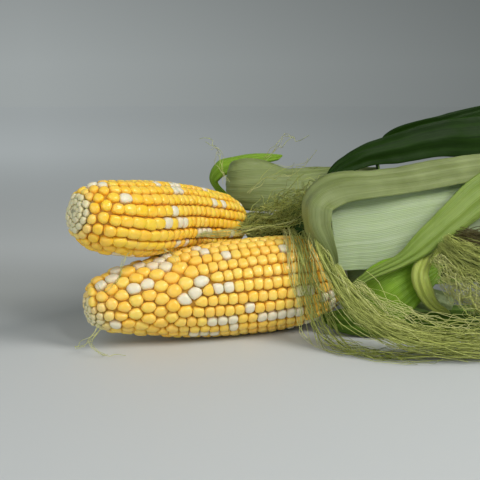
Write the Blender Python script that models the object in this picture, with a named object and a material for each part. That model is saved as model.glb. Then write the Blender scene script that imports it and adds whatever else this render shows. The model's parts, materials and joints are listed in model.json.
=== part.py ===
"""Two ears of bicolour sweet corn lying one on the other, husks pulled back, silk hanging loose.

Frame: the origin is the spot where the belly of the front ear rests on the table.
+X runs from the tips towards the husk, +Y runs to the back, +Z is up.
The tables below are in millimetres and degrees; everything is built in metres.
"""
import math
import bpy
import bmesh
import numpy as np
from mathutils import Vector

MM = 0.001

# ---- ears -------------------------------------------------------------------------------------
FRONT_TIP = (-75.1, -28.3, 22.2)      # end of the front ear
FRONT_YAW = 20.0                      # the butt points this far away from +X, towards the back
FRONT_PITCH = 2.0                     # and rises this much
FRONT_LENGTH = 146.0
FRONT_ROWS = 22                       # kernel rows round the front ear
FRONT_RINGS = 25                      # kernels along one row
FRONT_PROFILE = [(0.0, 3.0), (3.0, 9.5), (12.0, 14.5), (30.0, 18.5), (60.0, 23.4), (90.0, 25.3),
                 (118.0, 24.4), (132.0, 20.5), (142.0, 14.5), (146.0, 9.0)]

BACK_AXIS = [(-77.0, -44.9, 73.0), (-52.3, -24.5, 66.9), (-30.5, 11.0, 61.9), (3.5, 55.5, 51.8)]
BACK_ROWS = 16
BACK_RINGS = 25
BACK_PROFILE = [(0.0, 3.5), (3.0, 9.0), (10.0, 15.0), (20.0, 17.5), (45.0, 19.0), (70.0, 18.3),
                (100.0, 17.0), (117.0, 15.3), (126.0, 11.5), (131.0, 7.0)]
KERNEL_RISE = 1.2                     # how far a kernel swells out of the ear
BELLY_CUT = 0.0                       # the belly is flattened at table height

# ---- shanks: x, y, z, radius --------------------------------------------------------------------
FRONT_SHANK = [(65.2, 21.8, 27.8, 6.5), (76.0, 22.0, 26.5, 7.5), (92.0, 22.0, 21.0, 7.0),
               (108.0, 19.0, 15.5, 6.5), (124.0, 18.0, 11.0, 6.0)]
BACK_SHANK = [(6.0, 58.8, 52.6, 4.6), (14.0, 67.0, 51.0, 5.5), (26.0, 75.0, 48.0, 5.5),
              (40.0, 80.0, 45.0, 5.0)]

# ---- leaves: x, y, z of the spine, width, curl of the cross-section, direction it faces -----------
VIEW = (0.0, -1.0, 0.15)
LEAVES = {
    "front_hood_leaf": [
        (56, -11, 38, 3, 30, (-0.4, -1.0, 0.0)), (53, -12, 44, 9, 40, (-0.5, -1.0, 0.0)),
        (48, -13, 52, 16, 80, (-0.9, -0.9, 0.0)), (43, -12, 62, 23, 100, (-1.0, -0.8, 0.1)),
        (44, -9, 74, 24, 100, (-0.8, -0.8, 0.5)), (56, -4, 81, 21, 85, (-0.2, -0.9, 0.6)),
        (78, 1, 83, 17, 75, (0.0, -0.9, 0.6)), (101, 9, 85, 17, 70, (0.0, -0.9, 0.5)),
        (125, 19, 88, 17, 60, (0.0, -0.9, 0.5)), (153, 31, 90, 16, 50, (0.0, -0.9, 0.5)),
        (193, 50, 92, 12, 40, (0.0, -0.9, 0.5)), (222, 64, 92, 4, 40, (0.0, -0.9, 0.5))],
    "front_panel_leaf": [
        (57, 1.5, 57.5, 28, 18, (-0.15, -1.0, 0.1)), (66, 1.5, 56.5, 41, 14, (-0.1, -1.0, 0.12)),
        (80, 4, 57, 43, 10, VIEW), (97, 8, 60, 40, 8, VIEW), (116, 15, 63, 35, 8, VIEW),
        (139, 25, 66, 28, 10, VIEW), (176, 44, 71, 18, 20, VIEW), (206, 57, 72, 6, 20, VIEW)],
    "front_strip_leaf": [
        (63, -16, 28, 3, 20, VIEW), (72, -17, 35, 5, 30, VIEW), (90, -14, 43, 8, 60, VIEW),
        (104, -8, 52, 14, 60, VIEW), (123, 3, 65, 18, 40, VIEW), (140, 14, 76, 21, 30, VIEW),
        (172, 30, 91, 21, 30, VIEW), (214, 50, 98, 12, 30, VIEW), (232, 58, 100, 4, 30, VIEW)],
    "front_lower_leaf": [
        (67, 3, 8, 14, 40, (-0.3, -1.0, 0.0)), (73, -5, 15, 26, 40, (-0.2, -1.0, 0.1)),
        (81, -9, 22, 33, 40, (0.0, -1.0, 0.3)), (90, -8, 29, 32, 40, (0.0, -1.0, 0.4)),
        (102, -2, 34, 24, 36, (0.0, -1.0, 0.4)), (116, 6, 38, 10, 30, (0.0, -1.0, 0.4))],
    "front_small_leaf": [
        (116, 6, 47, 4, 60, VIEW), (107, -3, 44, 9, 80, VIEW), (101, -13, 36, 11, 80, VIEW),
        (103, -15, 27, 10, 80, VIEW), (109, -12, 18, 7, 70, VIEW), (118, -8, 13, 3, 60, VIEW)],
    "front_dark_leaf": [
        (78, 32, 50, 8, 60, (-0.6, 0.7, 0.3)), (68, 50, 66, 12, 60, (-0.8, 0.6, 0.3)),
        (60, 58, 80, 9, 40, (-0.5, -0.5, 0.6)), (79, 62, 91, 13, 40, VIEW), (101, 72, 95, 18, 40, VIEW),
        (127, 82, 100, 22, 40, VIEW), (154, 92, 101, 26, 40, VIEW), (196, 106, 106, 24, 30, VIEW),
        (226, 114, 108, 8, 30, VIEW)],
    "front_crest_leaf": [
        (88, 40, 62, 8, 60, (-0.6, 0.7, 0.3)), (89, 68, 77, 11, 60, (-0.8, 0.6, 0.3)),
        (90, 81, 94, 8, 40, (-0.5, 0.2, 0.6)), (104, 84, 102, 10, 40, VIEW), (130, 92, 107, 13, 40, VIEW),
        (158, 102, 112, 15, 40, VIEW), (190, 114, 116, 13, 30, VIEW), (220, 124, 117, 5, 30, VIEW)],
    "front_right_leaf": [
        (80, 16, 37, 6, 30, VIEW), (100, 22, 38, 15, 30, VIEW), (126, 28, 38, 26, 30, VIEW),
        (150, 36, 39, 30, 30, VIEW), (180, 48, 41, 26, 30, VIEW), (206, 58, 42, 6, 30, VIEW)],
    "front_rear_leaf": [
        (68, 44, 28, 20, 60, (0.0, 1.0, 0.2)), (84, 54, 36, 32, 60, (-0.2, 1.0, 0.2)),
        (110, 58, 50, 38, 50, (-0.3, 1.0, 0.3)), (145, 72, 58, 32, 40, (-0.3, 1.0, 0.3)),
        (185, 88, 62, 20, 40, (-0.3, 1.0, 0.3)), (218, 98, 62, 6, 40, (-0.3, 1.0, 0.3))],
    "front_under_leaf": [
        (64, 18, 10, 12, 50, (0.0, 0.0, -1.0)), (80, 24, 5, 26, 40, (0.0, 0.0, -1.0)),
        (104, 32, 1.5, 34, 20, (0.0, 0.0, -1.0)), (140, 44, 0.8, 30, 6, (0.0, 0.0, -1.0)),
        (180, 56, 0.8, 20, 6, (0.0, 0.0, -1.0)), (212, 64, 1.5, 6, 10, (0.0, 0.0, -1.0))],
    "back_roll_leaf": [
        (3, 73, 55, 5, 60, (-1.0, -0.3, 0.3)), (-5, 83, 63, 9, 90, (-1.0, -0.3, 0.3)),
        (-13, 82, 75, 14, 140, (-1.0, -0.3, 0.3)), (-8, 78, 85, 19, 170, (-0.4, -0.6, 1.0)),
        (3, 78, 88, 19, 170, (-0.1, -0.5, 1.0)), (14, 81, 90, 15, 160, (0.0, -0.3, 1.0)),
        (24, 85, 90, 11, 150, (0.0, -0.3, 1.0)), (31, 89, 89, 6, 120, (0.0, -0.3, 1.0))],
    "back_pale_leaf": [
        (14, 72, 69, 14, 30, (0.0, 1.0, 0.0)), (3, 71, 72, 20, 40, (-0.5, 1.0, 0.0)),
        (-3, 64, 74, 26, 50, (-1.0, 0.0, 0.0)), (4, 57, 75, 31, 60, (-0.5, -1.0, 0.1)),
        (18, 55, 76, 34, 75, (0.0, -1.0, 0.4)),
        (35, 59, 76, 30, 80, (0.0, -1.0, 0.6)), (55, 72, 78, 22, 70, (0.0, -0.8, 0.7)),
        (92, 90, 81, 10, 60, (0.0, -0.8, 0.7))],
    "back_shade_leaf": [
        (12, 59, 36, 8, 30, (-0.5, -1.0, 0.0)), (17, 51, 39, 18, 30, (-0.4, -1.0, 0.0)),
        (28, 47.5, 44, 29, 30, (-0.1, -1.0, 0.2)), (42, 47, 49, 33, 30, (0.0, -1.0, 0.2)),
        (56, 54, 56, 26, 30, (0.0, -1.0, 0.2)), (70, 72, 61, 12, 30, (0.0, -1.0, 0.2))],
    "back_prop_leaf": [
        (12, 84, 47, 14, 60, (-0.4, 1.0, 0.3)), (22, 98, 38, 26, 50, (-0.3, 1.0, 0.5)),
        (38, 112, 18, 32, 40, (-0.2, 1.0, 0.7)), (62, 122, 3, 32, 25, (0.0, 0.6, 1.0)),
        (104, 128, 0.8, 26, 6, (0.0, 0.0, 1.0)), (150, 134, 0.8, 16, 6, (0.0, 0.0, 1.0)),
        (178, 136, 1.5, 5, 10, (0.0, 0.0, 1.0))],
}
LEAF_THICKNESS = 1.0
LEAF_EDGE = 0.5

# ---- silk: x, y, z of the middle, half width, half height ----------------------------------------
SILK = {
    "silk_bundle": [
        (49, -18, 46, 2, 1.0), (55, -29, 33, 4, 2.0), (64, -41, 22, 6, 3.0), (78, -51, 12, 8, 4.0),
        (96, -55, 7.5, 11, 5.5), (124, -54, 7, 14, 5.5), (160, -46, 6, 16, 5.0), (206, -32, 3.5, 7, 3.0)],
    "silk_bunch": [
        (119, -14, 48, 3, 2.0), (126, -22, 44, 6, 5.0), (140, -26, 37, 9, 8.0),
        (160, -25, 29, 11, 9.0), (184, -20, 22, 11, 8.0), (206, -16, 17, 5, 4.0)],
    "silk_back": [(14, 40, 52, 3, 1.5), (22, 42, 60, 6, 3.0), (30, 41, 66, 7, 3.0), (36, 38, 74, 3, 1.5)],
}

MATERIALS = {
    "kernel_yellow": ((0.78, 0.47, 0.06), 0.35),
    "leaf_pale": ((0.38, 0.47, 0.20), 0.55),
    "leaf_green": ((0.20, 0.36, 0.07), 0.50),
    "leaf_dark": ((0.03, 0.09, 0.02), 0.50),
    "shank_green": ((0.24, 0.37, 0.09), 0.55),
    "silk_green": ((0.50, 0.58, 0.22), 0.60),
}
DARK_LEAVES = {"front_dark_leaf", "front_crest_leaf", "front_right_leaf", "back_shade_leaf"}
PALE_LEAVES = {"front_hood_leaf", "front_panel_leaf", "back_pale_leaf", "front_rear_leaf"}


def clear_scene():
    for ob in list(bpy.data.objects):
        bpy.data.objects.remove(ob, do_unlink=True)


def make_materials():
    made = {}
    for name, (colour, rough) in MATERIALS.items():
        mat = bpy.data.materials.new(name)
        mat.use_nodes = True
        bsdf = mat.node_tree.nodes["Principled BSDF"]
        bsdf.inputs["Base Color"].default_value = (*colour, 1.0)
        bsdf.inputs["Roughness"].default_value = rough
        bsdf.inputs["Metallic"].default_value = 0.0
        made[name] = mat
    return made


def unit(v):
    return v / np.maximum(np.linalg.norm(v, axis=-1, keepdims=True), 1e-12)


def smooth_curve(points, count):
    """Catmull-Rom curve through the rows of `points`, resampled at `count` even parameters."""
    p = np.array(points, dtype=float)
    p = np.vstack([2 * p[0] - p[1], p, 2 * p[-1] - p[-2]])
    out = []
    for t in np.linspace(0.0, len(p) - 3, count):
        i = min(int(t), len(p) - 4)
        u = t - i
        a, b, c, d = p[i:i + 4]
        out.append(0.5 * (2 * b + (c - a) * u + (2 * a - 5 * b + 4 * c - d) * u * u
                          + (3 * b - a - 3 * c + d) * u ** 3))
    return np.array(out)


def add_node(name, verts, faces, mat):
    """One closed body from vertices (mm) and faces, with outward normals."""
    bm = bmesh.new()
    made = [bm.verts.new(Vector(v) * MM) for v in verts]
    for f in faces:
        bm.faces.new([made[i] for i in f])
    bmesh.ops.triangulate(bm, faces=bm.faces)
    bmesh.ops.recalc_face_normals(bm, faces=bm.faces)
    mesh = bpy.data.meshes.new(name)
    bm.to_mesh(mesh)
    bm.free()
    mesh.materials.append(mat)
    ob = bpy.data.objects.new(name, mesh)
    bpy.context.scene.collection.objects.link(ob)
    return ob


def carried_frames(path):
    """Side and up vectors carried along a path without twisting."""
    along = unit(np.gradient(path, axis=0))
    side = unit(np.cross(along[0], (0.0, 0.0, 1.0)))
    sides, ups = [], []
    for t in along:
        side = unit(side - t * np.dot(side, t))
        sides.append(side)
        ups.append(np.cross(side, t))
    return np.array(sides), np.array(ups)


def tube(path, half_w, half_h, around):
    """Swept ellipse, closed at both ends."""
    sides, ups = carried_frames(path)
    turn = np.linspace(0.0, 2 * math.pi, around, endpoint=False)
    verts = []
    for p, s, u, w, h in zip(path, sides, ups, half_w, half_h):
        ring = [p + s * w * math.cos(a) + u * h * math.sin(a) for a in turn]
        verts += [np.array((v[0], v[1], max(v[2], 0.0))) for v in ring]
    faces = []
    for k in range(len(path) - 1):
        for j in range(around):
            a, b = k * around + j, k * around + (j + 1) % around
            faces.append((a, b, b + around, a + around))
    first, last = len(verts), len(verts) + 1
    verts += [path[0], path[-1]]
    base = (len(path) - 1) * around
    for j in range(around):
        faces.append((first, (j + 1) % around, j))
        faces.append((last, base + j, base + (j + 1) % around))
    return verts, faces


def leaf(stations, steps, across):
    """Thin curled blade along a spine; each station gives width, curl and the way it faces."""
    rows = [(*s[:5], *s[5]) for s in stations]
    s = smooth_curve(rows, steps)
    spine, width, curl, face = s[:, :3], np.maximum(s[:, 3], 1.5), np.radians(np.maximum(s[:, 4], 2)), s[:, 5:8]
    along = unit(np.gradient(spine, axis=0))
    side = unit(np.cross(along, face))
    face = np.cross(side, along)
    v = np.linspace(-1.0, 1.0, across)
    thick = LEAF_EDGE + (LEAF_THICKNESS - LEAF_EDGE) * (1 - v ** 2)
    top, under = [], []
    for k in range(steps):
        radius = width[k] / curl[k]
        for j in range(across):
            a = v[j] * curl[k] / 2
            out = side[k] * math.sin(a) + face[k] * math.cos(a)
            mid = spine[k] + side[k] * radius * math.sin(a) + face[k] * radius * (math.cos(a) - 1)
            pair = [mid + out * thick[j] / 2, mid - out * thick[j] / 2]
            sunk = min(pair[0][2], pair[1][2])
            if sunk < 0.0:
                pair = [p - np.array((0.0, 0.0, sunk)) for p in pair]
            top.append(pair[0])
            under.append(pair[1])
    n = len(top)
    verts = top + under
    faces = []
    for k in range(steps - 1):
        for j in range(across - 1):
            a = k * across + j
            faces.append((a, a + 1, a + across + 1, a + across))
            faces.append((n + a, n + a + across, n + a + across + 1, n + a + 1))
        for a in (k * across, k * across + across - 1):
            faces.append((a, a + across, n + a + across, n + a))
    for j in range(across - 1):
        for a in (j, (steps - 1) * across + j):
            faces.append((a, n + a, n + a + 1, a + 1))
    return verts, faces


def ear(name, axis, profile, rows, rings, mat):
    """Turned ear whose cells swell out as kernels; kernels sit in straight rows along the axis."""
    path = smooth_curve(axis, 200)
    run = np.concatenate([[0.0], np.cumsum(np.linalg.norm(np.diff(path, axis=0), axis=1))])
    sides, ups = carried_frames(path)
    at = np.linspace(0.0, 1.0, rings + 1) ** 0.9 * run[-1]
    radii = np.interp(at, [p[0] for p in profile], [p[1] for p in profile])
    verts = []
    for x, r in zip(at, radii):
        c = np.array([np.interp(x, run, path[:, i]) for i in range(3)])
        s = np.array([np.interp(x, run, sides[:, i]) for i in range(3)])
        u = np.array([np.interp(x, run, ups[:, i]) for i in range(3)])
        for j in range(rows):
            a = 2 * math.pi * j / rows
            verts.append(c + r * (math.cos(a) * s + math.sin(a) * u))
    bm = bmesh.new()
    made = [bm.verts.new(Vector(v) * MM) for v in verts]
    cells = []
    for k in range(rings):
        for j in range(rows):
            a, b = k * rows + j, k * rows + (j + 1) % rows
            cells.append(bm.faces.new([made[i] for i in (a, b, b + rows, a + rows)]))
    bm.faces.new(made[:rows])
    bm.faces.new(made[-rows:])
    bmesh.ops.recalc_face_normals(bm, faces=bm.faces)
    bmesh.ops.poke(bm, faces=cells, offset=KERNEL_RISE * MM)
    if min(v.co.z for v in bm.verts) < BELLY_CUT * MM:
        geom = bm.verts[:] + bm.edges[:] + bm.faces[:]
        bmesh.ops.bisect_plane(bm, geom=geom, plane_co=(0.0, 0.0, BELLY_CUT * MM), plane_no=(0, 0, 1),
                               dist=1e-6, clear_inner=True)
        bmesh.ops.holes_fill(bm, edges=[e for e in bm.edges if e.is_boundary])
    bmesh.ops.triangulate(bm, faces=bm.faces)
    bmesh.ops.remove_doubles(bm, verts=bm.verts, dist=1e-6)
    bmesh.ops.recalc_face_normals(bm, faces=bm.faces)
    mesh = bpy.data.meshes.new(name)
    bm.to_mesh(mesh)
    bm.free()
    mesh.materials.append(mat)
    ob = bpy.data.objects.new(name, mesh)
    bpy.context.scene.collection.objects.link(ob)
    return ob


def front_axis():
    yaw, pitch = math.radians(FRONT_YAW), math.radians(FRONT_PITCH)
    d = np.array([math.cos(yaw) * math.cos(pitch), math.sin(yaw) * math.cos(pitch), math.sin(pitch)])
    tip = np.array(FRONT_TIP)
    return [tip + d * FRONT_LENGTH * f for f in (0.0, 0.5, 1.0)]


def leaf_material(name, mats):
    if name in DARK_LEAVES:
        return mats["leaf_dark"]
    if name in PALE_LEAVES:
        return mats["leaf_pale"]
    return mats["leaf_green"]


clear_scene()
materials = make_materials()
ear("front_ear", front_axis(), FRONT_PROFILE, FRONT_ROWS, FRONT_RINGS, materials["kernel_yellow"])
ear("back_ear", BACK_AXIS, BACK_PROFILE, BACK_ROWS, BACK_RINGS, materials["kernel_yellow"])
for shank, stations in (("front_shank", FRONT_SHANK), ("back_shank", BACK_SHANK)):
    line = smooth_curve(stations, 10)
    add_node(shank, *tube(line[:, :3], line[:, 3], line[:, 3], 12), materials["shank_green"])
for leaf_name, stations in LEAVES.items():
    add_node(leaf_name, *leaf(stations, 18, 7), leaf_material(leaf_name, materials))
for lock_name, stations in SILK.items():
    line = smooth_curve(stations, 16)
    add_node(lock_name, *tube(line[:, :3], line[:, 3], line[:, 4], 10), materials["silk_green"])
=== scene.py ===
# %% [markdown]
# # Two ears of sweet corn, husks pulled back
# The measured model comes in first as a fixed frame. Everything made below sits on it: kernels on the
# two ears, ribbed leaves on the husk, and silk. All sizes are in metres, and `MM` turns the millimetres
# of the tables into metres.

# %% Frame
import json
import math
import bpy
import numpy as np
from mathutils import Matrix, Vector

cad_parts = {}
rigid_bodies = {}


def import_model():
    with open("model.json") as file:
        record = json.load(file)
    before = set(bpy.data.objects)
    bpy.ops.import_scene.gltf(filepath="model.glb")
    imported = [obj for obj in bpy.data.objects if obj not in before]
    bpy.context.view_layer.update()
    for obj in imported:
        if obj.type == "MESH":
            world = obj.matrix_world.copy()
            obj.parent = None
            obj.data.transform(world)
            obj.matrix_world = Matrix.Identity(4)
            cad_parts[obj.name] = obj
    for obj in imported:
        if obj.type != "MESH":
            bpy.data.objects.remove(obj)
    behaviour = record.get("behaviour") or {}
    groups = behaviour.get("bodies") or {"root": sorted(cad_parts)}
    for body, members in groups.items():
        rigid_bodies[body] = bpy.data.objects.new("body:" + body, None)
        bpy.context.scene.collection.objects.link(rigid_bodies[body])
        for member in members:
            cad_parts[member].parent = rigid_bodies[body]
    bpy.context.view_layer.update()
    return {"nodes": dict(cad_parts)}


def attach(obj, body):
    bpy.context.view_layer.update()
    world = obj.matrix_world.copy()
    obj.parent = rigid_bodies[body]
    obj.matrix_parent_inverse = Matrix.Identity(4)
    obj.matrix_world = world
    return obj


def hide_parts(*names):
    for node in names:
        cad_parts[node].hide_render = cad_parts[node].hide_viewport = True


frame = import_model()
MM = 0.001
print("nodes in the frame:", len(frame["nodes"]))


# %% [markdown]
# ## Shader maths
# A leaf or a kernel gets its look from a few masks mixed together. Wiring those by hand is slow to read,
# so a small class wraps a socket and lets masks be added, multiplied and mixed like numbers.

# %% Shader helpers
BUMP_DEPTH = 0.0004


class Wire:
    """One output socket; ordinary arithmetic on it adds Math nodes."""

    def __init__(self, mat, socket):
        self.mat = mat
        self.socket = socket

    def _math(self, op, *values, clamp=False):
        return self.mat.node("ShaderNodeMath", {"operation": op, "use_clamp": clamp},
                             dict(enumerate(values)))[0]

    def __add__(self, other):
        return self._math("ADD", self, other)

    def __sub__(self, other):
        return self._math("SUBTRACT", self, other)

    def __rsub__(self, other):
        return self._math("SUBTRACT", other, self)

    def __mul__(self, other):
        return self._math("MULTIPLY", self, other)

    def __truediv__(self, other):
        return self._math("DIVIDE", self, other)

    def __pow__(self, other):
        return self._math("POWER", self, other)

    def clip(self):
        return self._math("ADD", self, 0.0, clamp=True)

    def sine(self):
        return self._math("SINE", self)

    def step(self, low, high):
        """0 below `low`, 1 above `high`, smooth between."""
        out = self.mat.node("ShaderNodeMapRange", {"interpolation_type": "SMOOTHSTEP"},
                            {"Value": self, "From Min": low, "From Max": high})
        return out["Result"]


class Finish:
    """A material, or the world, whose nodes are added by name; sockets take numbers, colours or wires."""

    def __init__(self, name, world=None):
        self.material = world or bpy.data.materials.new(name)
        self.material.use_nodes = True
        self.tree = self.material.node_tree
        self.bsdf = self.tree.nodes["Background" if world else "Principled BSDF"]

    def node(self, kind, settings=None, sockets=None):
        made = self.tree.nodes.new(kind)
        for key, value in (settings or {}).items():
            setattr(made, key, value)
        for key, value in (sockets or {}).items():
            self.put(made.inputs[key], value)
        return Outputs(self, made)

    def put(self, socket, value):
        if isinstance(value, Wire):
            self.tree.links.new(value.socket, socket)
        elif isinstance(value, tuple) and len(value) == 3 and socket.type == "RGBA":
            socket.default_value = (*value, 1.0)
        else:
            socket.default_value = value

    def mix(self, factor, one, two, blend="MIX"):
        return self.node("ShaderNodeMix", {"data_type": "RGBA", "blend_type": blend},
                         {0: factor, 6: one, 7: two})[2]

    def attribute(self, name):
        return self.node("ShaderNodeAttribute", {"attribute_name": name})["Fac"]

    def noise(self, scale, vector, detail=3.0, rough=0.5):
        return self.node("ShaderNodeTexNoise", None, {"Vector": vector, "Scale": scale, "Detail": detail,
                                                      "Roughness": rough})["Fac"]

    def place(self):
        return self.node("ShaderNodeTexCoord")["Object"]

    def split(self, vector):
        return self.node("ShaderNodeSeparateXYZ", None, {0: vector})

    def join(self, x, y, z):
        return self.node("ShaderNodeCombineXYZ", None, {"X": x, "Y": y, "Z": z})[0]

    def bump(self, height, strength):
        return self.node("ShaderNodeBump", None,
                         {"Height": height, "Strength": strength, "Distance": BUMP_DEPTH})["Normal"]

    def flesh(self, weight, radius, scale, ior):
        """Light that sinks in: constant values only."""
        for key, value in (("Subsurface Weight", weight), ("Subsurface Radius", radius),
                           ("Subsurface Scale", scale), ("IOR", ior)):
            self.bsdf.inputs[key].default_value = value

    def finish(self, **sockets):
        for name, value in sockets.items():
            self.put(self.bsdf.inputs[name.replace("_", " ")], value)
        return self.material


class Outputs:
    """Outputs of one node, by name or number, as wires."""

    def __init__(self, mat, node):
        self.mat = mat
        self.node = node

    def __getitem__(self, key):
        return Wire(self.mat, self.node.outputs[key])


# %% [markdown]
# ## Geometry Nodes trees
# Kernels, leaf ribs and silk threads all repeat, so Geometry Nodes make them. This class writes a tree
# in script: named inputs first, then nodes chained one after another.

# %% Tree helper
class Tree:
    def __init__(self, name, **inputs):
        self.group = bpy.data.node_groups.new(name, "GeometryNodeTree")
        face = self.group.interface
        face.new_socket("Geometry", in_out="INPUT", socket_type="NodeSocketGeometry")
        self.ids = {}
        for key, value in inputs.items():
            kind = "NodeSocketInt" if isinstance(value, int) else "NodeSocketFloat"
            if isinstance(value, bpy.types.Material):
                kind = "NodeSocketMaterial"
            socket = face.new_socket(key, in_out="INPUT", socket_type=kind)
            socket.default_value = value
            self.ids[key] = socket.identifier
        face.new_socket("Geometry", in_out="OUTPUT", socket_type="NodeSocketGeometry")
        self.start = self.group.nodes.new("NodeGroupInput")
        self.end = self.group.nodes.new("NodeGroupOutput")

    def input(self, name):
        return self.start.outputs[name]

    def node(self, kind, settings=None, sockets=None):
        made = self.group.nodes.new(kind)
        for key, value in (settings or {}).items():
            setattr(made, key, value)
        for key, value in (sockets or {}).items():
            socket = made.inputs[key]
            if isinstance(value, bpy.types.NodeSocket):
                self.group.links.new(value, socket)
            elif isinstance(value, bpy.types.Node):
                self.group.links.new(value.outputs[0], socket)
            else:
                socket.default_value = value
        return made

    def math(self, op, a, b=0.0):
        return self.node("ShaderNodeMath", {"operation": op}, {0: a, 1: b})

    def attribute(self, name, kind="FLOAT"):
        return self.node("GeometryNodeInputNamedAttribute", {"data_type": kind}, {"Name": name})

    def value(self, name, kind="FLOAT"):
        return self.attribute(name, kind).outputs["Attribute"]

    def join(self, x, y, z):
        return self.node("ShaderNodeCombineXYZ", None, {"X": x, "Y": y, "Z": z})

    def scaled(self, vector, scale):
        return self.node("ShaderNodeVectorMath", {"operation": "SCALE"}, {0: vector, "Scale": scale})

    def close(self, geometry):
        """Smooth faces, the tree's own finish, and out."""
        smooth = self.node("GeometryNodeSetShadeSmooth", None, {0: geometry})
        real = self.node("GeometryNodeRealizeInstances", None, {0: smooth})
        painted = self.node("GeometryNodeSetMaterial", None,
                            {"Geometry": real, "Material": self.input("finish")})
        self.group.links.new(painted.outputs[0], self.end.inputs[0])

    def grow(self, ob, name, shell=0.0, **values):
        """Run the tree on `ob`, give it a thickness of `shell`, and return a plain mesh object."""
        modifier = ob.modifiers.new("grow", "NODES")
        modifier.node_group = self.group
        for key, value in values.items():
            modifier[self.ids[key]] = value
        if shell:
            walls = ob.modifiers.new("thickness", "SOLIDIFY")
            walls.thickness = shell
            walls.offset = 0.0
            walls.use_even_offset = False
        bpy.context.view_layer.update()
        evaluated = ob.evaluated_get(bpy.context.evaluated_depsgraph_get())
        mesh = bpy.data.meshes.new_from_object(evaluated)
        bpy.data.objects.remove(ob)
        mesh.name = name
        made = bpy.data.objects.new(name, mesh)
        bpy.context.scene.collection.objects.link(made)
        return made


def seed_object(name, verts, faces=(), edges=()):
    mesh = bpy.data.meshes.new(name)
    mesh.from_pydata([tuple(v) for v in verts], [tuple(e) for e in edges], [tuple(f) for f in faces])
    mesh.update()
    ob = bpy.data.objects.new(name, mesh)
    bpy.context.scene.collection.objects.link(ob)
    return ob


def give(mesh, name, values, domain="POINT"):
    """Write an attribute: one number, or one vector, for each point or face."""
    values = np.asarray(values, dtype=np.float32)
    vectors = values.ndim == 2
    layer = mesh.attributes.new(name, "FLOAT_VECTOR" if vectors else "FLOAT", domain)
    layer.data.foreach_set("vector" if vectors else "value", values.ravel())


def tube_faces(rings, ring):
    """Faces of a closed tube: its rings of points in order, then one point for each end."""
    first_end, last_end, last_ring = rings * ring, rings * ring + 1, (rings - 1) * ring
    faces = [(k + j, k + (j + 1) % ring, k + ring + (j + 1) % ring, k + ring + j)
             for k in range(0, last_ring, ring) for j in range(ring)]
    faces += [(first_end, (j + 1) % ring, j) for j in range(ring)]
    faces += [(last_end, last_ring + j, last_ring + (j + 1) % ring) for j in range(ring)]
    return faces


def settle(piece, node):
    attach(piece, "root")
    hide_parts(node)


# %% [markdown]
# ## Camera and lights
# The view is low and close to level. A soft window light stands to the upper right and gives the main
# shading. A small light beside it puts bright spots on the kernels, and a wide weak one in front keeps
# the shadows open. The backdrop is pale on the left and darker on the right.

# %% Camera and lights
CAMERA_PLACE = (0.0053, -0.5298, 0.1450)
CAMERA_TILT = 80.0
LENS, SENSOR = 74.98, 36.0
camera_data = bpy.data.cameras.new("camera")
camera_data.lens = LENS
camera_data.sensor_width = SENSOR
camera_data.clip_start = 0.01
camera = bpy.data.objects.new("camera", camera_data)
camera.location = CAMERA_PLACE
camera.rotation_euler = (math.radians(CAMERA_TILT), 0.0, 0.0)
bpy.context.scene.collection.objects.link(camera)
bpy.context.scene.camera = camera


def area_light(name, place, aim, size, power, colour=(1.0, 1.0, 1.0)):
    data = bpy.data.lights.new(name, "AREA")
    data.shape = "RECTANGLE"
    data.size, data.size_y = size
    data.energy = power
    data.color = colour
    ob = bpy.data.objects.new(name, data)
    ob.location = place
    ob.rotation_euler = (Vector(aim) - Vector(place)).to_track_quat("-Z", "Y").to_euler()
    bpy.context.scene.collection.objects.link(ob)


area_light("window", (0.85, -0.50, 0.90), (0.02, 0.0, 0.03), (0.45, 0.60), 10.5, (1.0, 0.98, 0.95))
area_light("glint", (0.45, -0.90, 0.75), (-0.02, 0.0, 0.05), (0.15, 0.25), 2.4)
area_light("fill", (-0.6, -1.3, 0.7), (-0.03, 0.0, 0.03), (1.3, 1.3), 8.0, (0.96, 0.98, 1.0))


def to_right(side):
    """0 at the left of the view and 1 at the right, from the slope of the line of sight."""
    return ((side + 0.20) / 0.46).clip()


world = bpy.data.worlds.new("studio")
backdrop = Finish("studio", world)
look = backdrop.split(backdrop.node("ShaderNodeTexCoord")["Generated"])
backdrop_tone = backdrop.mix(to_right(look["X"]), (0.60, 0.65, 0.65), (0.30, 0.33, 0.325))
backdrop.finish(Color=backdrop_tone, Strength=0.56 - (look["Z"] / 0.06).clip() * 0.08)
bpy.context.scene.world = world
bpy.context.scene.view_settings.view_transform = "Standard"
print("camera and lights are set")


# %% [markdown]
# ## Floor
# The floor is one pale disc, wide enough to fill the view from any side. A broad soft band behind the
# ears is painted darker: a painted shadow of the ears on the floor. Far behind the ears the floor
# stops catching light and glows with the backdrop's own tones, so seen from the camera the two meet
# without an edge.

# %% Floor
FLOOR_RADIUS, FLOOR_SIDES, FLOOR_DROP = 3.0, 96, 0.0002
BLACK = (0.0, 0.0, 0.0)
floor_finish = Finish("pale_floor")
spot = floor_finish.split(floor_finish.place())
spot_x, spot_y = spot["X"], spot["Y"]
# Painted shadow: a soft darker band on the floor just behind the ears.
band = spot_y.step(-0.02, 0.08) * (1 - spot_y.step(0.10, 0.28))
far_off = spot_y.step(0.25, 1.2)
floor_tone = floor_finish.mix(band, (0.57, 0.59, 0.59), (0.40, 0.415, 0.405))
floor_tone = floor_finish.mix(far_off, floor_tone, BLACK)
line_of_sight = to_right(spot_x / (spot_y + 0.53))
glow = floor_finish.mix(line_of_sight, (0.345, 0.375, 0.38), (0.165, 0.182, 0.179))
dim = floor_finish.mix(1.0, glow, (0.86, 0.86, 0.86), "MULTIPLY")
glow = floor_finish.mix(spot_y.step(0.5, 2.4), glow, dim)
glow = floor_finish.mix(far_off, BLACK, glow)
floor_finish.finish(Base_Color=floor_tone, Emission_Color=glow, Emission_Strength=1.0, Roughness=0.7)
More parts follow.
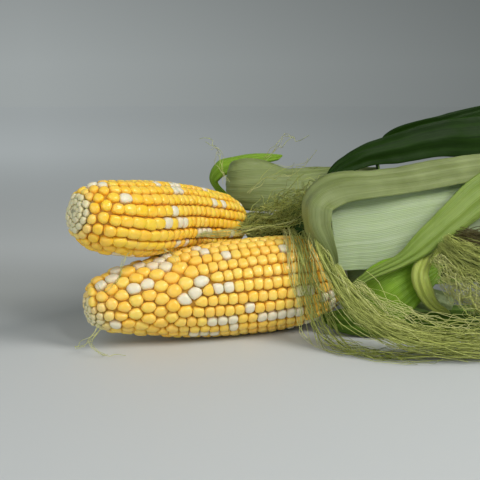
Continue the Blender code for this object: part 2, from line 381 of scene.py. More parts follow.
rim = [(FLOOR_RADIUS * math.cos(a), FLOOR_RADIUS * math.sin(a), -FLOOR_DROP)
       for a in np.linspace(0, 2 * math.pi, FLOOR_SIDES, endpoint=False)]
floor = seed_object("floor", rim, [range(FLOOR_SIDES)])
floor.data.materials.append(floor_finish.material)
print("floor radius:", FLOOR_RADIUS)


# %% [markdown]
# ## Curves that carry everything
# An ear is a body turned round a slightly bent axis. A leaf is a blade carried along a spine. Both need
# the same two tools: a smooth curve through a few points, and directions that travel along it without
# twisting.

# %% Curve helpers
def unit(v):
    return v / np.maximum(np.linalg.norm(v, axis=-1, keepdims=True), 1e-12)


def smooth_curve(points, count):
    """Catmull-Rom curve through the rows of `points`, read at `count` even parameters."""
    p = np.array(points, dtype=float)
    p = np.vstack([2 * p[0] - p[1], p, 2 * p[-1] - p[-2]])
    t = np.linspace(0.0, len(p) - 3, count)
    i = np.minimum(t.astype(int), len(p) - 4)
    u = (t - i)[:, None]
    a, b, c, d = p[i], p[i + 1], p[i + 2], p[i + 3]
    return 0.5 * (2 * b + (c - a) * u + (2 * a - 5 * b + 4 * c - d) * u ** 2
                  + (3 * b - a - 3 * c + d) * u ** 3)


def carried_frames(path):
    along = unit(np.gradient(path, axis=0))
    side = unit(np.cross(along[0], (0.0, 0.0, 1.0)))
    sides, ups = [], []
    for t in along:
        side = unit(side - t * np.dot(side, t))
        sides.append(side)
        ups.append(np.cross(side, t))
    return along, np.array(sides), np.array(ups)


# %% [markdown]
# ## The cob
# Under the kernels an ear is a plain turned body. This class knows its axis and its profile and gives
# the place of any point from its run along the surface (`s`, from the tip), an angle round the axis
# (90 degrees is straight up) and a height above the surface. Measuring along the surface keeps kernels
# the right size where the tip curves in.

# %% Cob surface
AXIS_POINTS, OUTLINE_POINTS = 300, 400


class Cob:
    def __init__(self, axis, profile):
        self.path = smooth_curve(axis, AXIS_POINTS)
        self.along, self.sides, self.ups = carried_frames(self.path)
        step = np.linalg.norm(np.diff(self.path, axis=0), axis=1)
        self.run = np.concatenate([[0.0], np.cumsum(step)])
        outline = smooth_curve(profile, OUTLINE_POINTS)
        self.x = np.maximum.accumulate(outline[:, 0])
        self.r = np.maximum(outline[:, 1], 0.3)
        steps = np.hypot(np.diff(self.x), np.diff(self.r)) + 1e-9
        self.arc = np.concatenate([[0.0], np.cumsum(steps)])
        self.slope = np.gradient(self.r, self.arc)
        self.length = self.arc[-1]

    def radius(self, s):
        return np.interp(s, self.arc, self.r)

    def at(self, s, turn, lift):
        """Points in mm at run `s`, angle `turn`, height `lift` above the surface."""
        s, turn, lift = np.broadcast_arrays(s, turn, lift)
        slope = np.clip(np.interp(s, self.arc, self.slope), -1.0, 1.0)
        x = np.interp(s, self.arc, self.x)
        middle, along, side, up = [
            np.stack([np.interp(x, self.run, table[:, i]) for i in range(3)], axis=-1)
            for table in (self.path, self.along, self.sides, self.ups)]
        out = np.cos(turn)[..., None] * side + np.sin(turn)[..., None] * up
        reach = np.interp(s, self.arc, self.r) + lift * np.sqrt(1 - slope ** 2)
        return middle + reach[..., None] * out - (lift * slope)[..., None] * along

    def core(self, name, finish, sink):
        """The cob between the kernels, as one closed turned body."""
        count, ring = 90, 60
        s = np.linspace(0.0, self.length, count)
        turn = np.linspace(0.0, 2 * math.pi, ring, endpoint=False)
        lift = -np.minimum(sink, 0.3 * self.radius(s))
        rings = self.at(s[:, None], turn[None], lift[:, None]).reshape(-1, 3)
        verts = list(rings) + [rings[:ring].mean(axis=0), rings[-ring:].mean(axis=0)]
        ob = seed_object(name, np.array(verts) * MM, tube_faces(count, ring))
        runs = np.append(np.repeat(s, ring), [0.0, s[-1]])
        give(ob.data, "tip", np.interp(runs, [8.0, 16.0], [1.0, 0.0]))
        ob.data.materials.append(finish)
        ob.data.shade_smooth()
        return ob


# %% [markdown]
# ## Where the kernels sit
# On a grown ear the middle and the butt carry straight rows, while the tip is a crowd of round kernels
# of uneven size. Rows are laid first. The crowd is then scattered and pushed apart many times, the way
# kernels settle as they swell. Kernels get smaller toward the very tip.

# %% Kernel places
ROW_ROOM = 6.3              # mm that a kernel in a row takes up beside the crowd
PUSHES, PUSH_SHARE = 90, 0.20
LAYER_STEP = 0.84           # rings of the crowd stand closer than a kernel is wide


def row_places(cob, rows, pitch_at, start_at, s_end, seed, wobble):
    """Straight rows: each row starts at its own offset, which may depend on the row's angle."""
    rng = np.random.default_rng(seed)
    out = []
    for j in range(rows):
        turn = 2 * math.pi * j / rows
        s = start_at(turn) + rng.uniform(0.0, 1.0) * pitch_at(start_at(turn))
        drift = rng.normal(0.0, wobble, 5)
        while s < s_end:
            bend = np.interp(s, np.linspace(0, s_end, 5), drift)
            out.append((s, turn + bend / cob.radius(s) + rng.normal(0, 0.012), 1.0))
            s += pitch_at(s) * rng.uniform(0.92, 1.08)
    return out


def crowd_places(cob, spacing_at, s_start, end_at, fixed, seed):
    """Scattered kernels between the tip and the rows, relaxed by pushing neighbours apart."""
    rng = np.random.default_rng(seed)
    wanted = []
    s = s_start
    while s < 100.0:
        middle = 0.5 * (spacing_at(s, 1.57) + spacing_at(s, -1.57))
        count = max(3, round(2 * math.pi * cob.radius(s) / middle * 1.04))
        for turn in np.linspace(0, 2 * math.pi, count, endpoint=False) + rng.uniform(0, 6):
            if s < end_at(turn):
                wanted.append((s + rng.normal(0, 0.4), turn + rng.normal(0, 0.06)))
        s += LAYER_STEP * middle
    loose = np.array(wanted)
    still = np.array([f[:2] for f in fixed])
    sizes = rng.normal(1.0, 0.10, len(loose))
    for _ in range(PUSHES):
        everyone = np.vstack([loose, still])
        here = cob.at(loose[:, 0], loose[:, 1], 0.0)
        there = cob.at(everyone[:, 0], everyone[:, 1], 0.0)
        gap = here[:, None] - there[None]
        far = np.linalg.norm(gap, axis=2) + 1e-6
        mine = np.array([spacing_at(a, b) for a, b in loose]) * sizes
        theirs = np.concatenate([mine, np.full(len(still), ROW_ROOM)])
        room = 0.5 * (mine[:, None] + theirs[None])
        push = np.maximum(0.0, room - far)
        np.fill_diagonal(push[:, :len(loose)], 0.0)
        move = (gap / far[..., None] * push[..., None]).sum(axis=1) * PUSH_SHARE
        ahead = unit(cob.at(loose[:, 0] + 0.3, loose[:, 1], 0.0) - here)
        sideways = unit(cob.at(loose[:, 0], loose[:, 1] + 0.02, 0.0) - here)
        loose[:, 0] += np.einsum("ij,ij->i", move, ahead)
        girth = np.maximum(cob.radius(loose[:, 0]), 2.0)
        loose[:, 1] += np.einsum("ij,ij->i", move, sideways) / girth
        loose[:, 0] = np.maximum(loose[:, 0], 0.5 * s_start)
    return [(a, b, 0.0) for a, b in loose]


# %% [markdown]
# ## The outline of each kernel
# A kernel fills the room its neighbours leave. Walking round its middle, the wall stands half-way to
# each neighbour, and the corners are rounded off. That is a smooth minimum over the neighbours, worked
# out on the ear's unrolled surface, so rows give soft bricks and the crowd gives beads.

# %% Kernel outlines
SIDES = 14
NEIGHBOURS = 12
WIDEST = 5.3                # mm from a kernel's middle to its wall
SHARP = (6.0, 5.5)          # how square the outline is, in the rows and in the crowd
ROOM = (0.985, 1.05)        # share of the room taken, in the rows and in the crowd


def kernel_outlines(cob, places):
    s = np.array([p[0] for p in places])
    turn = np.array([p[1] for p in places]) % (2 * math.pi)
    in_row = np.array([p[2] for p in places])
    middle = cob.at(s, turn, 0.0)
    ahead = unit(cob.at(s + 0.2, turn, 0.0) - middle)
    sideways = unit(cob.at(s, turn + 0.01, 0.0) - middle)
    around = np.linspace(0, 2 * math.pi, SIDES, endpoint=False)
    rays = np.stack([np.cos(around), np.sin(around)], axis=1)
    outlines, widths = [], []
    for i in range(len(places)):
        gap = middle - middle[i]
        near = np.argsort(np.linalg.norm(gap, axis=1))[1:NEIGHBOURS + 1]
        offset = np.stack([gap[near] @ ahead[i], gap[near] @ sideways[i]], axis=1)
        flat, true = np.linalg.norm(offset, axis=1), np.linalg.norm(gap[near], axis=1)
        offset *= (true / (flat + 1e-9))[:, None]
        reach = (offset ** 2).sum(axis=1) / 2
        kind = 0 if in_row[i] > 0.5 else 1
        pull = np.maximum(0.0, rays @ offset.T) / reach
        edge = (pull ** SHARP[kind]).sum(axis=1) ** (-1.0 / SHARP[kind])
        edge = np.minimum(edge, WIDEST) * ROOM[kind]
        points = rays * edge[:, None]
        reach_turn = points[:, 1] / np.maximum(cob.radius(s[i]), 1.5)
        reach_run = np.maximum(s[i] + points[:, 0], 0.0)
        outlines.append(np.stack([reach_run, turn[i] + reach_turn], axis=1))
        widths.append(2 * edge.mean())
    return np.array(outlines), np.array(widths)


# %% [markdown]
# ## Swelling the kernels
# Each outline is one face on the cob. The tree pushes it out five times, narrower after each push but
# the first, so the face becomes a plump kernel of some seventy faces. Every push also writes how far up
# the kernel its points are (`crown`), which the finish uses for the painted shade between kernels.

# %% Kernel tree
KERNEL_STEPS = [(0.44, 1.0), (0.25, 0.93), (0.17, 0.79), (0.10, 0.57), (0.04, 0.30)]   # rise, width
TALL = 0.46                 # height of a kernel over its width
JUT, CROWD_JUT = 0.10, 0.30     # mm that kernels stand out unevenly


def kernel_tree(finish):
    tree = Tree("swell_kernels", finish=finish)
    shape = tree.node("GeometryNodeStoreNamedAttribute", {"data_type": "FLOAT", "domain": "POINT"},
                      {"Geometry": tree.input("Geometry"), "Name": "crown", "Value": 0.0})
    geometry, chosen, risen, wide = shape.outputs[0], True, 0.0, 1.0
    tall = tree.value("tall")
    for part, width in KERNEL_STEPS:
        risen += part
        lift = tree.math("MULTIPLY", tall, part)
        push = tree.node("GeometryNodeExtrudeMesh", {"mode": "FACES"},
                         {"Mesh": geometry, "Selection": chosen, "Offset Scale": lift, "Individual": True})
        draw_in = tree.node("GeometryNodeScaleElements", {"domain": "FACE"},
                            {"Geometry": push.outputs["Mesh"], "Selection": push.outputs["Top"],
                             "Scale": width / wide})
        mark = tree.node("GeometryNodeStoreNamedAttribute", {"data_type": "FLOAT", "domain": "POINT"},
                         {"Geometry": draw_in, "Selection": push.outputs["Top"], "Name": "crown",
                          "Value": risen})
        geometry, chosen, wide = mark.outputs[0], push.outputs["Top"], width
    tree.close(geometry)
    return tree


def grow_kernels(name, cob, places, finish, seed, white, young):
    """`white` is the share of cream kernels; `young(s, turn)` is 1 where kernels never filled out."""
    rng = np.random.default_rng(seed)
    outlines, widths = kernel_outlines(cob, places)
    s = np.array([p[0] for p in places])
    turn = np.array([p[1] for p in places])
    in_row = np.array([p[2] for p in places])
    height = np.clip(widths * TALL * (1.0 + 0.12 * (1 - in_row)), 0.5, 3.7)
    height *= rng.normal(1.0, 0.04, len(widths))
    jutting = rng.normal(0.0, JUT, len(s)) + (1 - in_row) * rng.normal(0.0, CROWD_JUT, len(s))
    low = cob.at(outlines[..., 0], outlines[..., 1], (-height + jutting)[:, None])
    verts = low.reshape(-1, 3) * MM
    faces = [[i * SIDES + j for j in range(SIDES)] for i in range(len(places))]
    ob = seed_object(name, verts, faces)
    middle = cob.at(s, turn, 0.0)
    pale = np.zeros(len(s))
    for i in rng.permutation(len(s)):
        if pale.mean() >= white:
            break
        pale[i] = 1.0
        if rng.random() < 0.45:
            near = np.argsort(np.linalg.norm(middle - middle[i], axis=1))[1:5]
            pale[near[np.argmin(np.abs(np.sin(turn[near] - turn[i])))]] = 1.0
    give(ob.data, "tall", height * MM, "FACE")
    give(ob.data, "pale", pale, "FACE")
    give(ob.data, "shade", rng.uniform(0, 1, len(s)), "FACE")
    give(ob.data, "young", [young(a, b) for a, b in zip(s, turn)], "FACE")
    made = kernel_tree(finish).grow(ob, name)
    print(name, "kernels:", len(places), "faces:", len(made.data.polygons))
    return made


# %% [markdown]
# ## Kernel and cob finish
# A fresh kernel is a thin clear skin over milky flesh: waxy gloss, and light that sinks in a little.
# Down between the kernels a deeper orange is painted in as shade, with the light bounced from yellow to
# yellow there. About one kernel in six is cream. Kernels at the tip that never filled are grey-green.

# %% Kernel finish
# Cream and unfilled kernels, each with a painted shade colour for low down between the kernels.
CREAM, CREAM_IN_SHADE = (0.80, 0.74, 0.55), (0.62, 0.45, 0.20)
YOUNG, YOUNG_IN_SHADE = (0.72, 0.66, 0.40), (0.40, 0.35, 0.14)
HAZE = (0.92, 0.80, 0.50)


def kernel_finish(name, top, deep):
    f = Finish(name)
    place = f.place()
    crown, pale = f.attribute("crown"), f.attribute("pale")
    shade, young = f.attribute("shade"), f.attribute("young")
    cloud = f.noise(160.0, place, 3.0)
    # Painted shade between the kernels: low on each kernel the colour turns to `deep`, and likewise to the
    # shaded cream and grey-green colours.
    rise = crown.step(0.10, 0.80)
    richer = f.mix(shade, tuple(c * k for c, k in zip(top, (1.02, 0.86, 0.60))), top)
    yellow = f.mix(rise, deep, richer)
    colour = f.mix(pale, yellow, f.mix(rise, CREAM_IN_SHADE, CREAM))
    colour = f.mix(young, colour, f.mix(rise, YOUNG_IN_SHADE, YOUNG))
    colour = f.mix((cloud - 0.5) * 0.35 + 0.06, colour, HAZE)
    f.flesh(weight=0.20, radius=(1.0, 0.55, 0.18), scale=0.0016, ior=1.45)
    return f.finish(Base_Color=colour, Roughness=(cloud - 0.5) * 0.10 + 0.19,
                    Normal=f.bump(f.noise(420.0, place, 2.0), 0.10))


def cob_finish(name, colour):
    f = Finish(name)
    grain = f.noise(500.0, f.place(), 3.0)
    tone = f.mix(grain, tuple(c * 0.7 for c in colour), colour)
    tone = f.mix(f.attribute("tip"), tone, f.mix(grain, (0.22, 0.20, 0.10), (0.52, 0.50, 0.32)))
    return f.finish(Base_Color=tone, Roughness=0.7)


# %% Front ear
FRONT_LENGTH, FRONT_ROWS, FRONT_PITCH = 146.0, 24, 5.45
FRONT_PROFILE = [(0.0, 0.5), (0.1, 4.0), (1.2, 8.4), (4.5, 12.4), (13.0, 16.3), (30.0, 19.9), (60.0, 24.6),
                 (90.0, 26.2), (118.0, 25.4), (132.0, 21.5), (142.0, 15.5), (FRONT_LENGTH, 10.0)]
yaw, pitch = math.radians(20.0), math.radians(2.0)
front_way = np.array([math.cos(yaw) * math.cos(pitch), math.sin(yaw) * math.cos(pitch), math.sin(pitch)])
front_tip = np.array((-75.1, -28.3, 22.6))
front_cob = Cob([front_tip + front_way * FRONT_LENGTH * part for part in (0.0, 0.5, 1.0)], FRONT_PROFILE)


def low_side(turn):
    return max(0.0, math.cos(turn - math.radians(-75.0))) ** 0.7


def front_rows_start(turn):
    return 60.0 + 12.0 * math.sin(2 * turn + 0.6)


def front_spacing(s, turn):
    grown = np.interp(s, [2.0, 8.0, 16.0, 40.0], [4.6, 6.4, 7.6, 7.7])
    return grown * (1 - 0.5 * low_side(turn) * np.interp(s, [12.0, 24.0], [1.0, 0.0]))


def front_young(s, turn):
    end = np.interp(s, [3.0, 7.0], [0.8, 0.0])
    return float(np.clip(end + low_side(turn) * np.interp(s, [14.0, 22.0], [1.0, 0.0]), 0, 1))


front_rows = row_places(front_cob, FRONT_ROWS, lambda s: FRONT_PITCH, front_rows_start,
                        front_cob.length - 3.0, seed=11, wobble=0.35)
front_crowd = crowd_places(front_cob, front_spacing, 3.0, lambda turn: front_rows_start(turn) - 3.0,
                           front_rows, seed=12)
front_kernels = grow_kernels("front_ear_kernels", front_cob, front_rows + front_crowd,
                             kernel_finish("kernels_front", (0.96, 0.68, 0.11), (0.82, 0.45, 0.03)),
                             seed=13, white=0.16, young=front_young)
front_core = front_cob.core("front_ear_cob", cob_finish("cob_front", (0.60, 0.31, 0.03)), sink=3.0)

# %% Back ear
BACK_ROWS = 18
BACK_AXIS = [(-77.0, -44.9, 73.0), (-52.3, -24.5, 66.9), (-30.5, 11.0, 61.9), (3.5, 55.5, 51.8)]
BACK_PROFILE = [(0.0, 0.5), (0.1, 4.5), (0.8, 8.0), (3.2, 11.8), (10.0, 16.6), (20.0, 18.9), (45.0, 20.3),
                (70.0, 19.6), (100.0, 18.2), (117.0, 16.4), (126.0, 12.6), (131.0, 8.0)]
back_cob = Cob(BACK_AXIS, BACK_PROFILE)


def back_rows_start(turn):
    return 21.0 + 28.0 * max(0.0, -math.sin(turn)) ** 1.5


def back_spacing(s, turn):
    return np.interp(s, [3.0, 8.0, 14.0, 20.0], [3.0, 4.2, 6.6, 7.4])


def back_young(s, turn):
    return float(np.interp(s, [9.0, 13.0], [1.0, 0.0]))


def back_pitch(s):
    return np.interp(s, [20, 45, 80, 130], [6.0, 5.2, 4.8, 4.5])


back_rows = row_places(back_cob, BACK_ROWS, back_pitch, back_rows_start, back_cob.length - 2.5,
                       seed=21, wobble=0.25)
back_crowd = crowd_places(back_cob, back_spacing, 2.6, lambda turn: back_rows_start(turn) - 2.5,
                          back_rows, seed=22)
back_kernels = grow_kernels("back_ear_kernels", back_cob, back_rows + back_crowd,
                            kernel_finish("kernels_back", (0.97, 0.66, 0.05), (0.82, 0.40, 0.012)),
                            seed=23, white=0.15, young=back_young)
back_core = back_cob.core("back_ear_cob", cob_finish("cob_back", (0.60, 0.29, 0.02)), sink=2.8)
for piece, node in ((front_kernels, "front_ear"), (front_core, "front_ear"),
                    (back_kernels, "back_ear"), (back_core, "back_ear")):
    settle(piece, node)


# %% [markdown]
# ## Husk leaves
# A husk leaf is a thin parallel-veined blade, pale and silky inside, greener and duller outside. Pulled
# back, it creases at the butt and then runs off to the right. Each blade is carried along a spine: a
# station gives the spine's place, the blade's width, how far the cross-section curls, and the way it
# faces. The stations follow those of the measured model, so the two agree, and the far end of a blade
# narrows to a soft point. One leaf has a free edge below the silk, which is a blade of its own.

# %% Leaf blade
END_TAPER = 0.07            # share of the blade's length that narrows to its far end


def leaf_blade(name, stations, steps, across):
    """`stations` are rows of (x, y, z, width, curl in degrees, the way it faces) in mm."""
    rows = smooth_curve([(*s[:5], *s[5]) for s in stations], steps)
    taper = np.sqrt(np.clip(np.linspace(1.0, 0.0, steps) / END_TAPER, 0.03, 1.0))
    spine, width = rows[:, :3], np.maximum(rows[:, 3], 0.8) * taper
    curl = np.radians(np.maximum(rows[:, 4], 2.0))
    along = unit(np.gradient(spine, axis=0))
    side = unit(np.cross(along, rows[:, 5:8]))
    face = np.cross(side, along)
    v = np.linspace(-1.0, 1.0, across)
    bend = v[None] * curl[:, None] / 2
    radius = (width / curl)[:, None, None]
    points = (spine[:, None] + side[:, None] * radius * np.sin(bend)[..., None]
              + face[:, None] * radius * (np.cos(bend) - 1)[..., None])
    faces = []
    for k in range(steps - 1):
        for j in range(across - 1):
            a = k * across + j
            faces.append((a, a + 1, a + across + 1, a + across))
    ob = seed_object(name, points.reshape(-1, 3) * MM, faces)
    run = np.concatenate([[0.0], np.cumsum(np.linalg.norm(np.diff(spine, axis=0), axis=1))])
    give(ob.data, "run", np.repeat(run, across) * MM)
    give(ob.data, "cross", np.tile(v, steps))
    give(ob.data, "broad", np.repeat(width, across) * MM)
    return ob


# %% [markdown]
# ## Ribs and waves
# Veins run the whole length of a leaf and crowd together as it narrows, so they are counted across the
# blade and not measured. The tree lifts the blade in soft folds along its veins, and lets the edges
# wave a little more than the middle. Solidify then gives it a leaf's thickness.

# %% Leaf tree
def leaf_tree():
    tree = Tree("rib_leaf", folds=7.0, fold_height=0.0003, wave=0.001, wave_size=60.0, seed=0.0,
                finish=bpy.data.materials.new("leaf_default"))
    cross, run = tree.value("cross"), tree.value("run")
    normal = tree.node("GeometryNodeInputNormal").outputs[0]
    turn = tree.math("MULTIPLY", cross, tree.math("MULTIPLY", tree.input("folds"), math.pi))
    along = tree.join(tree.math("MULTIPLY", run, 12.0), tree.input("seed"), 0.0)
    wander = tree.node("ShaderNodeTexNoise", {"noise_dimensions": "2D"}, {"Vector": along, "Scale": 3.0})
    ridge = tree.math("SINE", tree.math("ADD", turn, tree.math("MULTIPLY", wander.outputs[0], 3.0)))
    ridge = tree.math("MULTIPLY", ridge, tree.input("fold_height"))
    spot = tree.join(run, tree.math("MULTIPLY", cross, 0.006), tree.input("seed"))
    ripple = tree.node("ShaderNodeTexNoise", None,
                       {"Vector": spot, "Scale": tree.input("wave_size"), "Detail": 2.0})
    swing = tree.math("MULTIPLY", tree.math("SUBTRACT", ripple.outputs[0], 0.5), tree.input("wave"))
    loose = tree.math("ADD", 0.35, tree.math("POWER", tree.math("ABSOLUTE", cross), 2.0))
    swing = tree.math("MULTIPLY", swing, tree.math("MULTIPLY", loose, 2.0))
    lift = tree.scaled(normal, tree.math("ADD", ridge, swing))
    tree.close(tree.node("GeometryNodeSetPosition", None,
                         {"Geometry": tree.input("Geometry"), "Offset": lift}))
    return tree


RIB_LEAF = leaf_tree()


TABLE_GAP = 0.00005


def keep_above_table(mesh):
    points = np.empty(len(mesh.vertices) * 3, dtype=np.float32)
    mesh.vertices.foreach_get("co", points)
    points[2::3] = np.maximum(points[2::3], TABLE_GAP)
    mesh.vertices.foreach_set("co", points)
    mesh.update()


def grow_leaf(node, stations, finish, inner, folds=7.0, fold_height=0.25, wave=0.8, wave_size=60.0,
              seed=0.0, steps=110, across=33, thick=0.45, name=None):
    """`finish` is the side the blade faces; `inner` is its other side. Heights are in mm."""
    name = name or node + "_ribbed"
    made = RIB_LEAF.grow(leaf_blade(name, stations, steps, across), name, shell=thick * MM, folds=folds,
                         fold_height=fold_height * MM, wave=wave * MM, wave_size=wave_size, seed=seed,
                         finish=finish)
    mesh = made.data
    keep_above_table(mesh)
    mesh.materials.clear()
    mesh.materials.append(finish)
    mesh.materials.append(inner)
    one_side = (steps - 1) * (across - 1)
    marks = np.zeros(len(mesh.polygons), dtype=np.int32)
    marks[one_side:2 * one_side] = 1
    mesh.polygons.foreach_set("material_index", marks)
    settle(made, node)
    print(name, "faces:", len(mesh.polygons))


# %% [markdown]
# ## Leaf finish
# The colour of a husk leaf lies in lines: pale and deeper veins side by side, broader bands among them,
# and a slow drift of tone along the blade. The lines follow the blade's own `cross` and `run` values,
# so they bend with the leaf. Light sinks a little way into the blade.

# %% Leaf finish
def leaf_finish(name, light, dark, veins, gloss=0.42, relief=0.35, thin=0.25, blotch=0.5, shine=0.3):
    f = Finish(name)
    run, cross = f.attribute("run"), f.attribute("cross")
    fibre = f.noise(1.6, f.join(run * 6.0, cross * veins * 0.5, 0.3), 4.0, 0.65)
    band = f.noise(1.4, f.join(run * 10.0, cross * veins * 0.09, 2.7), 2.0)
    line = (cross * veins * math.pi + fibre * 5.0).sine() * 0.5 + 0.5
    cloud = f.noise(55.0, f.place(), 3.0)
    tone = (fibre - 0.5) * 1.5 + (band - 0.5) * 0.9 + (cloud - 0.5) * blotch + 0.5
    colour = f.mix(tone.clip(), dark, light)
    colour = f.mix((line ** 3.0) * 0.22, colour, tuple(min(1.0, c * 1.35 + 0.03) for c in light))
    f.flesh(weight=thin, radius=(0.8, 1.0, 0.3), scale=0.0015, ior=1.4)
    f.bsdf.inputs["Specular IOR Level"].default_value = shine
    return f.finish(Base_Color=colour, Roughness=(cloud - 0.5) * 0.15 + gloss,
                    Normal=f.bump(line * 0.5 + fibre, relief))


husk_pale = leaf_finish("husk_pale", (0.45, 0.53, 0.34), (0.28, 0.37, 0.16), veins=46.0)
husk_silky = leaf_finish("husk_silky", (0.27, 0.32, 0.13), (0.11, 0.14, 0.03), veins=34.0, blotch=1.1)
husk_green = leaf_finish("husk_green", (0.24, 0.38, 0.06), (0.11, 0.22, 0.015), veins=42.0)
husk_vivid = leaf_finish("husk_vivid", (0.25, 0.40, 0.03), (0.10, 0.22, 0.008), veins=40.0)
husk_strip = leaf_finish("husk_strip", (0.22, 0.30, 0.06), (0.11, 0.18, 0.016), veins=22.0, blotch=1.0)
husk_yellow = leaf_finish("husk_yellow", (0.42, 0.46, 0.12), (0.24, 0.31, 0.03), veins=18.0)
husk_dark = leaf_finish("husk_dark", (0.016, 0.048, 0.002), (0.002, 0.010, 0.0005), veins=34.0, gloss=0.5,
                        relief=0.2, thin=0.0, shine=0.12)
# A green leaf colour darkened as painted shade, for the leaf edge under the front ear's butt.
husk_shaded = leaf_finish("husk_shaded", (0.09, 0.17, 0.012), (0.02, 0.05, 0.003), veins=30.0, thin=0.1,
                        shine=0.2)

# %% Front ear's leaves
VIEW = (0.0, -1.0, 0.15)        # ways to face
SLANT = (0.0, -0.9, 0.5)
REAR = (-0.3, 1.0, 0.3)
DOWN, UP = (0.0, 0.0, -1.0), (0.0, 0.0, 1.0)
LEFT_REAR = (-0.8, 0.6, 0.3)
LOW, LOW_UP = (0.0, -1.0, 0.4), (0.0, -1.0, 0.5)
FRONT = (0.0, -1.0, 0.2)
ROLLED = (0.0, -0.3, 1.0)
grow_leaf("front_hood_leaf", [
    (56, -11, 38, 3, 30, (-0.4, -1.0, 0.0)), (53, -12, 44, 9, 40, (-0.5, -1.0, 0.0)),
    (48, -13, 52, 16, 80, (-0.9, -0.9, 0.0)), (43, -12, 62, 23, 100, (-1.0, -0.8, 0.1)),
    (44, -9, 74, 24, 100, (-0.8, -0.8, 0.5)), (56, -4, 81, 21, 85, (-0.2, -0.9, 0.6)),
    (78, 1, 83, 17, 75, (0.0, -0.9, 0.6)), (101, 9, 85, 17, 70, SLANT),
    (125, 19, 88, 17, 60, SLANT), (153, 31, 90, 16, 50, SLANT),
    (193, 50, 92, 12, 40, SLANT), (222, 64, 92, 4, 40, SLANT)],
    husk_silky, husk_pale, folds=2.0, fold_height=0.45, wave=1.6, wave_size=45.0, seed=1.0,
    steps=150)
grow_leaf("front_panel_leaf", [
    (55, -2, 55, 40, 16, (-0.2, -1.0, 0.1)), (66, 1, 56, 42, 14, (-0.1, -1.0, 0.12)),
    (80, 4, 57, 43, 10, VIEW), (97, 8, 60, 40, 8, VIEW), (116, 15, 63, 35, 8, VIEW),
    (139, 25, 66, 28, 10, VIEW), (176, 44, 71, 18, 20, VIEW), (206, 57, 72, 6, 20, VIEW)],
    husk_pale, husk_green, folds=18.0, fold_height=0.07, wave=1.6, wave_size=40.0, seed=2.0,
    across=61, thick=0.5)
grow_leaf("front_strip_leaf", [
    (63, -16, 28, 3, 20, VIEW), (72, -17, 35, 5, 30, VIEW), (90, -14, 43, 8, 60, VIEW),
    (104, -8, 52, 14, 60, VIEW), (123, 3, 65, 18, 40, VIEW), (140, 14, 76, 21, 30, VIEW),
    (172, 30, 91, 21, 30, VIEW), (214, 50, 98, 12, 30, VIEW), (232, 58, 100, 3, 30, VIEW)],
    husk_strip, husk_green, folds=3.0, fold_height=0.3, wave=1.0, seed=3.0)
grow_leaf("front_lower_leaf", [
    (67, 3, 8, 14, 40, (-0.3, -1.0, 0.0)), (73, -5, 15, 26, 40, (-0.2, -1.0, 0.1)),
    (81, -9, 22, 33, 40, (0.0, -1.0, 0.3)), (90, -8, 29, 32, 40, LOW),
    (102, -2, 34, 24, 36, LOW), (116, 6, 38, 10, 30, LOW)],
    husk_vivid, husk_pale, folds=9.0, fold_height=0.22, wave=0.8, seed=4.0, across=49)
grow_leaf("front_small_leaf", [
    (116, 6, 47, 4, 60, VIEW), (107, -3, 44, 9, 80, VIEW), (101, -13, 36, 11, 80, VIEW),
    (103, -15, 27, 10, 80, VIEW), (109, -12, 18, 7, 70, VIEW), (118, -8, 13, 3, 60, VIEW)],
    husk_yellow, husk_green, folds=3.0, fold_height=0.4, wave=1.0, seed=5.0, steps=70)
grow_leaf("front_dark_leaf", [
    (78, 32, 50, 8, 60, (-0.6, 0.7, 0.3)), (68, 50, 66, 12, 60, LEFT_REAR),
    (60, 58, 80, 9, 40, (-0.5, -0.5, 0.6)), (79, 62, 91, 13, 40, VIEW), (101, 72, 95, 18, 40, VIEW),
    (127, 82, 100, 22, 40, VIEW), (154, 92, 101, 26, 40, VIEW), (196, 106, 106, 24, 30, VIEW),
    (226, 114, 108, 8, 30, VIEW)],
    husk_dark, husk_green, folds=2.0, fold_height=0.5, wave=1.5, seed=6.0)
grow_leaf("front_crest_leaf", [
    (88, 40, 62, 8, 60, (-0.6, 0.7, 0.3)), (89, 68, 77, 11, 60, LEFT_REAR),
    (90, 81, 94, 8, 40, (-0.5, 0.2, 0.6)), (104, 84, 102, 10, 40, VIEW), (130, 92, 107, 13, 40, VIEW),
    (158, 102, 112, 15, 40, VIEW), (190, 114, 116, 13, 30, VIEW), (220, 124, 117, 5, 30, VIEW)],
    husk_dark, husk_green, folds=2.0, fold_height=0.8, wave=1.5, seed=7.0)
grow_leaf("front_right_leaf", [
    (80, 16, 37, 6, 30, VIEW), (100, 22, 38, 15, 30, VIEW), (126, 28, 38, 26, 30, VIEW),
    (150, 36, 39, 30, 30, VIEW), (180, 48, 41, 26, 30, VIEW), (206, 58, 42, 6, 30, VIEW)],
    husk_dark, husk_green, folds=2.0, fold_height=0.5, wave=1.5, seed=8.0)
grow_leaf("front_rear_leaf", [
    (68, 44, 28, 20, 60, (0.0, 1.0, 0.2)), (84, 54, 36, 32, 60, (-0.2, 1.0, 0.2)),
    (110, 58, 50, 38, 50, REAR), (145, 72, 58, 32, 40, REAR),
    (185, 88, 62, 20, 40, REAR), (218, 98, 62, 6, 40, REAR)],
    husk_green, husk_pale, folds=7.0, fold_height=0.5, wave=2.0, wave_size=35.0, seed=9.0)
grow_leaf("front_under_leaf", [
    (64, 18, 10, 12, 50, DOWN), (80, 24, 5, 26, 40, DOWN),
    (104, 32, 1.5, 34, 20, DOWN), (140, 44, 0.8, 30, 6, DOWN),
    (180, 56, 0.8, 20, 6, DOWN), (212, 64, 1.5, 6, 10, DOWN)],
    husk_green, husk_green, folds=6.0, fold_height=0.3, wave=0.6, seed=10.0)
